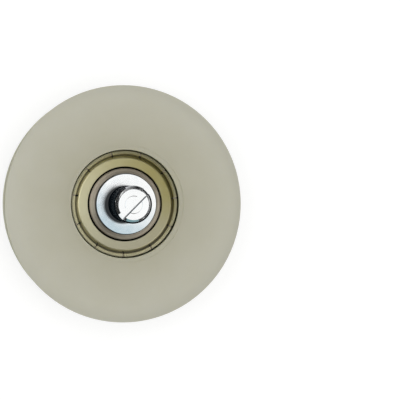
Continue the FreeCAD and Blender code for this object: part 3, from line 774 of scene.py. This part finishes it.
def smooth_by_angle(piece, angle):
    """Smooth shading, with edges sharper than the angle kept."""
    mesh = bmesh.new()
    mesh.from_mesh(piece.data)
    for face in mesh.faces:
        face.smooth = True
    for edge in mesh.edges:
        edge.smooth = edge.is_manifold and edge.calc_face_angle(0.0) < angle
    mesh.to_mesh(piece.data)
    mesh.free()


class DOORROLLER_OT_threaded_stud(bpy.types.Operator):
    """Build the turned stud with its helical thread and driver slot."""

    bl_idname = "doorroller.threaded_stud"
    bl_label = "Threaded Stud"

    def execute(self, context):
        stud = context.scene.roller_stud
        piece = new_object("threaded_stud", build_stud(stud))
        cut_with(piece, new_object("slot_cutter", build_slot_cutter(stud)))
        smooth_by_angle(piece, SMOOTH_ANGLE)
        collar_top = turned_levels(stud)[-1]
        chamfer_foot = thread_levels(stud)[-1] - stud.tip_chamfer
        material = stud_material(context.scene.roller_finish, collar_top, chamfer_foot)
        piece.data.materials.clear()
        piece.data.materials.append(material)
        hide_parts("stud")
        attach(piece, "axle")
        return {"FINISHED"}


class DOORROLLER_OT_nylon_wheel(bpy.types.Operator):
    """Give the wheel its moulded nylon."""

    bl_idname = "doorroller.nylon_wheel"
    bl_label = "Nylon Wheel"

    def execute(self, context):
        dress(["wheel"], nylon_material(context.scene.roller_finish))
        return {"FINISHED"}


class DOORROLLER_OT_bearing_rings(bpy.types.Operator):
    """Give both bearing rings their ground steel."""

    bl_idname = "doorroller.bearing_rings"
    bl_label = "Bearing Rings"

    def execute(self, context):
        middle = (BEARING_LOW.z + BEARING_HIGH.z) / 2.0
        half_width = (BEARING_HIGH.z - BEARING_LOW.z) / 2.0
        dress(["bearing_outer_ring", "bearing_inner_ring"],
              ring_material(context.scene.roller_finish, middle, half_width, SHIELD_HIGH.x))
        return {"FINISHED"}


class DOORROLLER_OT_shields(bpy.types.Operator):
    """Give both shields their passivated sheet."""

    bl_idname = "doorroller.shields"
    bl_label = "Shields"

    def execute(self, context):
        valley = SHIELD_HIGH.x - context.scene.roller_finish.valley_inset
        dress(["front_shield", "back_shield"], shield_material(context.scene.roller_finish, valley))
        return {"FINISHED"}


class DOORROLLER_OT_balls_and_cage(bpy.types.Operator):
    """Give the balls, cage halves, rivets and circlip their steels."""

    bl_idname = "doorroller.balls_and_cage"
    bl_label = "Balls, Cage and Circlip"

    def execute(self, context):
        colours = context.scene.roller_finish
        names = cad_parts
        dress([name for name in names if name.startswith("ball_")],
              polished_metal("ball_steel", colours.ball, roughness=0.06))
        dress([name for name in names if name.startswith("cage_")],
              sheet_metal("cage_steel", colours.cage, scaled(colours.cage, 0.75), roughness=0.3))
        dress(["circlip"],
              sheet_metal("spring_steel", colours.spring, scaled(colours.spring, 1.6), roughness=0.42))
        return {"FINISHED"}


# Stage

FLOOR_HALF = 2.0
FLOOR_COLOUR = (0.42, 0.42, 0.42)
FLOOR_GLOW = 0.66
LIGHT_TARGET = (0.0, 0.0, 0.02)
SOFT_BOXES = (                   # name, place, width, height and the setting with its power
    ("top_light", (0.0, 0.1, 1.3), 1.6, 1.6, "top_power"),
    ("left_light", (-0.75, 0.12, 0.95), 0.5, 0.8, "left_power"),
    ("right_light", (0.75, -0.15, 0.95), 0.4, 0.6, "right_power"),
)
ACROSS = (1.0, 0.0, 0.0)
OVER_CARD_TINTS = ((0.86, 0.95, 1.0), (1.0, 1.0, 1.0), (1.0, 0.95, 0.88))
LOW_CARD_COLOUR = (0.20, 0.34, 0.37)
HIGH_CARD_COLOURS = ((0.62, 0.63, 0.66), (0.50, 0.51, 0.54), (0.14, 0.14, 0.15))
SIDE_CARD_COLOURS = ((0.5, 0.5, 0.5), (0.0, 0.0, 0.0), (0.5, 0.5, 0.5))
SIDE_CARD_AIMS = (("far_card", 62.0), ("near_card", 250.0))      # degrees from the X axis


def seen_directly(nodes, links):
    """1 for camera, glossy and transmission rays, and 0 for the rays that light the object."""
    path = nodes.new("ShaderNodeLightPath")
    seen = combine(nodes, links, "MAXIMUM", path.outputs["Is Camera Ray"], path.outputs["Is Glossy Ray"])
    return combine(nodes, links, "MAXIMUM", seen, path.outputs["Is Transmission Ray"])


def floor_material():
    """White floor: it shows white, and keeps a soft shadow."""
    material = bpy.data.materials.new("floor_white")
    nodes, links, surface = empty_tree(material, "ShaderNodeOutputMaterial")
    diffuse = nodes.new("ShaderNodeBsdfDiffuse")
    diffuse.inputs["Color"].default_value = (*FLOOR_COLOUR, 1.0)
    glow = nodes.new("ShaderNodeEmission")
    links.new(spread(nodes, links, seen_directly(nodes, links), 0.0, 1.0, 0.0, FLOOR_GLOW),
              glow.inputs["Strength"])
    both = nodes.new("ShaderNodeAddShader")
    links.new(diffuse.outputs["BSDF"], both.inputs[0])
    links.new(glow.outputs["Emission"], both.inputs[1])
    links.new(both.outputs["Shader"], surface)
    return material


def set_world(strength):
    """Even light from all round, which shows white where it is seen."""
    world = bpy.data.worlds.new("studio_world")
    bpy.context.scene.world = world
    nodes, links, surface = empty_tree(world, "ShaderNodeOutputWorld")
    background = nodes.new("ShaderNodeBackground")
    links.new(spread(nodes, links, seen_directly(nodes, links), 0.0, 1.0, strength, 1.0),
              background.inputs["Strength"])
    links.new(background.outputs["Background"], surface)


def add_soft_box(name, place, width, height, power):
    """A soft box aimed at the wheel, which metal doesn't mirror."""
    lamp = bpy.data.lights.new(name, "AREA")
    lamp.shape = "RECTANGLE"
    lamp.size, lamp.size_y = width, height
    lamp.energy = power
    holder = bpy.data.objects.new(name, lamp)
    holder.location = place
    holder.rotation_euler = (Vector(LIGHT_TARGET) - Vector(place)).to_track_quat("-Z", "Y").to_euler()
    holder.visible_glossy = False
    bpy.context.scene.collection.objects.link(holder)


def flat_card(half_x, half_y, height):
    """Mesh of a level rectangle."""
    mesh = bmesh.new()
    mesh.faces.new([mesh.verts.new((x * half_x, y * half_y, height))
                    for x, y in ((-1, -1), (1, -1), (1, 1), (-1, 1))])
    return mesh


def bent_card(radius, low, high, aim, reach):
    """Mesh of a card bent round the Z axis, reach degrees either side of the aim."""
    steps = 24
    mesh = bmesh.new()
    turns = [math.radians(aim - reach + 2.0 * reach * step / steps) for step in range(steps + 1)]
    rows = [[mesh.verts.new((radius * math.cos(turn), radius * math.sin(turn), height)) for turn in turns]
            for height in (low, high)]
    for step in range(steps):
        mesh.faces.new((rows[0][step], rows[0][step + 1], rows[1][step + 1], rows[1][step]))
    return mesh


def add_card(name, mesh, colours, direction=ACROSS, middle=0.0, reach=1.0):
    """A card seen only in metal, in one colour or in three that blend along the direction.

    The second of three is full at the middle, and the others at the reach either side of it.
    """
    card = new_object(name, mesh)
    material = bpy.data.materials.new(name)
    nodes, links, surface = empty_tree(material, "ShaderNodeOutputMaterial")
    glow = nodes.new("ShaderNodeEmission")
    if len(colours) == 1:
        glow.inputs["Color"].default_value = (*colours[0], 1.0)
    else:
        place = along(nodes, links, object_point(nodes), direction)
        first_half = spread(nodes, links, place, middle - reach, middle)
        second_half = spread(nodes, links, place, middle, middle + reach)
        near_side = blend_colours(nodes, links, first_half, colours[0], colours[1])
        links.new(blend_colours(nodes, links, second_half, near_side, colours[2]), glow.inputs["Color"])
    links.new(glow.outputs["Emission"], surface)
    card.data.materials.append(material)
    card.visible_camera = False
    card.visible_diffuse = False
    card.visible_shadow = False
    card.visible_transmission = False


def add_cards(stage):
    """The cards that the metal mirrors, over the wheel and round it."""
    add_card("over_card", flat_card(half_x=0.36, half_y=0.2, height=1.05),
             [scaled(tint, stage.over_card) for tint in OVER_CARD_TINTS], middle=0.16, reach=0.3)
    add_card("left_card", bent_card(radius=0.9, low=0.3, high=0.8, aim=180.0, reach=30.0),
             [[stage.left_card] * 3])
    add_card("ring_card", bent_card(radius=0.2, low=0.001, high=0.12, aim=0.0, reach=180.0),
             [[stage.ring_card] * 3])
    add_card("low_card", bent_card(radius=0.19, low=0.015, high=0.09, aim=274.0, reach=22.0),
             [LOW_CARD_COLOUR])
    add_card("high_card", bent_card(radius=0.19, low=0.015, high=0.09, aim=78.0, reach=30.0),
             HIGH_CARD_COLOURS, middle=0.02, reach=0.08)
    for name, aim in SIDE_CARD_AIMS:
        turn = math.radians(aim)
        add_card(name, bent_card(radius=0.5, low=0.25, high=2.4, aim=aim, reach=56.0),
                 SIDE_CARD_COLOURS, direction=(-math.sin(turn), math.cos(turn), 0.0), reach=0.48)


def add_camera(stage):
    """Camera above the wheel, a little to its left, with the wheel left of the picture's middle."""
    target = Vector((0.0, 0.0, BEARING_HIGH.z))
    lens = bpy.data.cameras.new("camera")
    lens.sensor_width = 36.0
    lens.lens = stage.lens
    lens.clip_start, lens.clip_end = 0.01, 20.0
    camera = bpy.data.objects.new("camera", lens)
    swing = Matrix.Rotation(-stage.camera_tilt, 4, "Y") @ Matrix.Rotation(-stage.camera_rise, 4, "X")
    aim = Matrix.Rotation(-stage.camera_aim_right, 4, "Y") @ Matrix.Rotation(stage.camera_aim_up, 4, "X")
    back = Matrix.Translation((0.0, 0.0, stage.camera_distance))
    camera.matrix_world = Matrix.Translation(target) @ swing @ back @ aim
    bpy.context.scene.collection.objects.link(camera)
    bpy.context.scene.camera = camera


class DOORROLLER_OT_stage(bpy.types.Operator):
    """Set the floor, the light, the world and the camera."""

    bl_idname = "doorroller.stage"
    bl_label = "Stage"

    def execute(self, context):
        stage = context.scene.roller_stage
        floor = new_object("floor", flat_card(FLOOR_HALF, FLOOR_HALF, height=0.0))
        floor.data.materials.append(floor_material())
        set_world(stage.world_strength)
        for name, place, width, height, power in SOFT_BOXES:
            add_soft_box(name, place, width, height, getattr(stage, power))
        add_cards(stage)
        add_camera(stage)
        context.scene.view_settings.view_transform = "Standard"
        return {"FINISHED"}


class DOORROLLER_PT_sidebar(bpy.types.Panel):
    """Lists the roller's pieces and stage."""

    bl_label = "Door Roller"
    bl_idname = "DOORROLLER_PT_sidebar"
    bl_space_type = "VIEW_3D"
    bl_region_type = "UI"
    bl_category = "Roller"

    def draw(self, context):
        column = self.layout.column()
        for operator in OPERATORS:
            column.operator(operator.bl_idname)
        for name, group in PROPERTY_GROUPS:
            box = self.layout.box()
            settings = getattr(context.scene, name)
            for field in group.__annotations__:
                box.prop(settings, field)


OPERATORS = (
    DOORROLLER_OT_stage,
    DOORROLLER_OT_nylon_wheel,
    DOORROLLER_OT_bearing_rings,
    DOORROLLER_OT_shields,
    DOORROLLER_OT_balls_and_cage,
    DOORROLLER_OT_threaded_stud,
)


def register():
    for name, group in PROPERTY_GROUPS:
        bpy.utils.register_class(group)
        setattr(bpy.types.Scene, name, PointerProperty(type=group))
    for operator in OPERATORS:
        bpy.utils.register_class(operator)
    bpy.utils.register_class(DOORROLLER_PT_sidebar)


def unregister():
    bpy.utils.unregister_class(DOORROLLER_PT_sidebar)
    for operator in reversed(OPERATORS):
        bpy.utils.unregister_class(operator)
    for name, group in reversed(PROPERTY_GROUPS):
        delattr(bpy.types.Scene, name)
        bpy.utils.unregister_class(group)


def main():
    register()
    bpy.ops.doorroller.stage()
    bpy.ops.doorroller.nylon_wheel()
    bpy.ops.doorroller.bearing_rings()
    bpy.ops.doorroller.shields()
    bpy.ops.doorroller.balls_and_cage()
    bpy.ops.doorroller.threaded_stud()


if __name__ == "__main__":
    main()
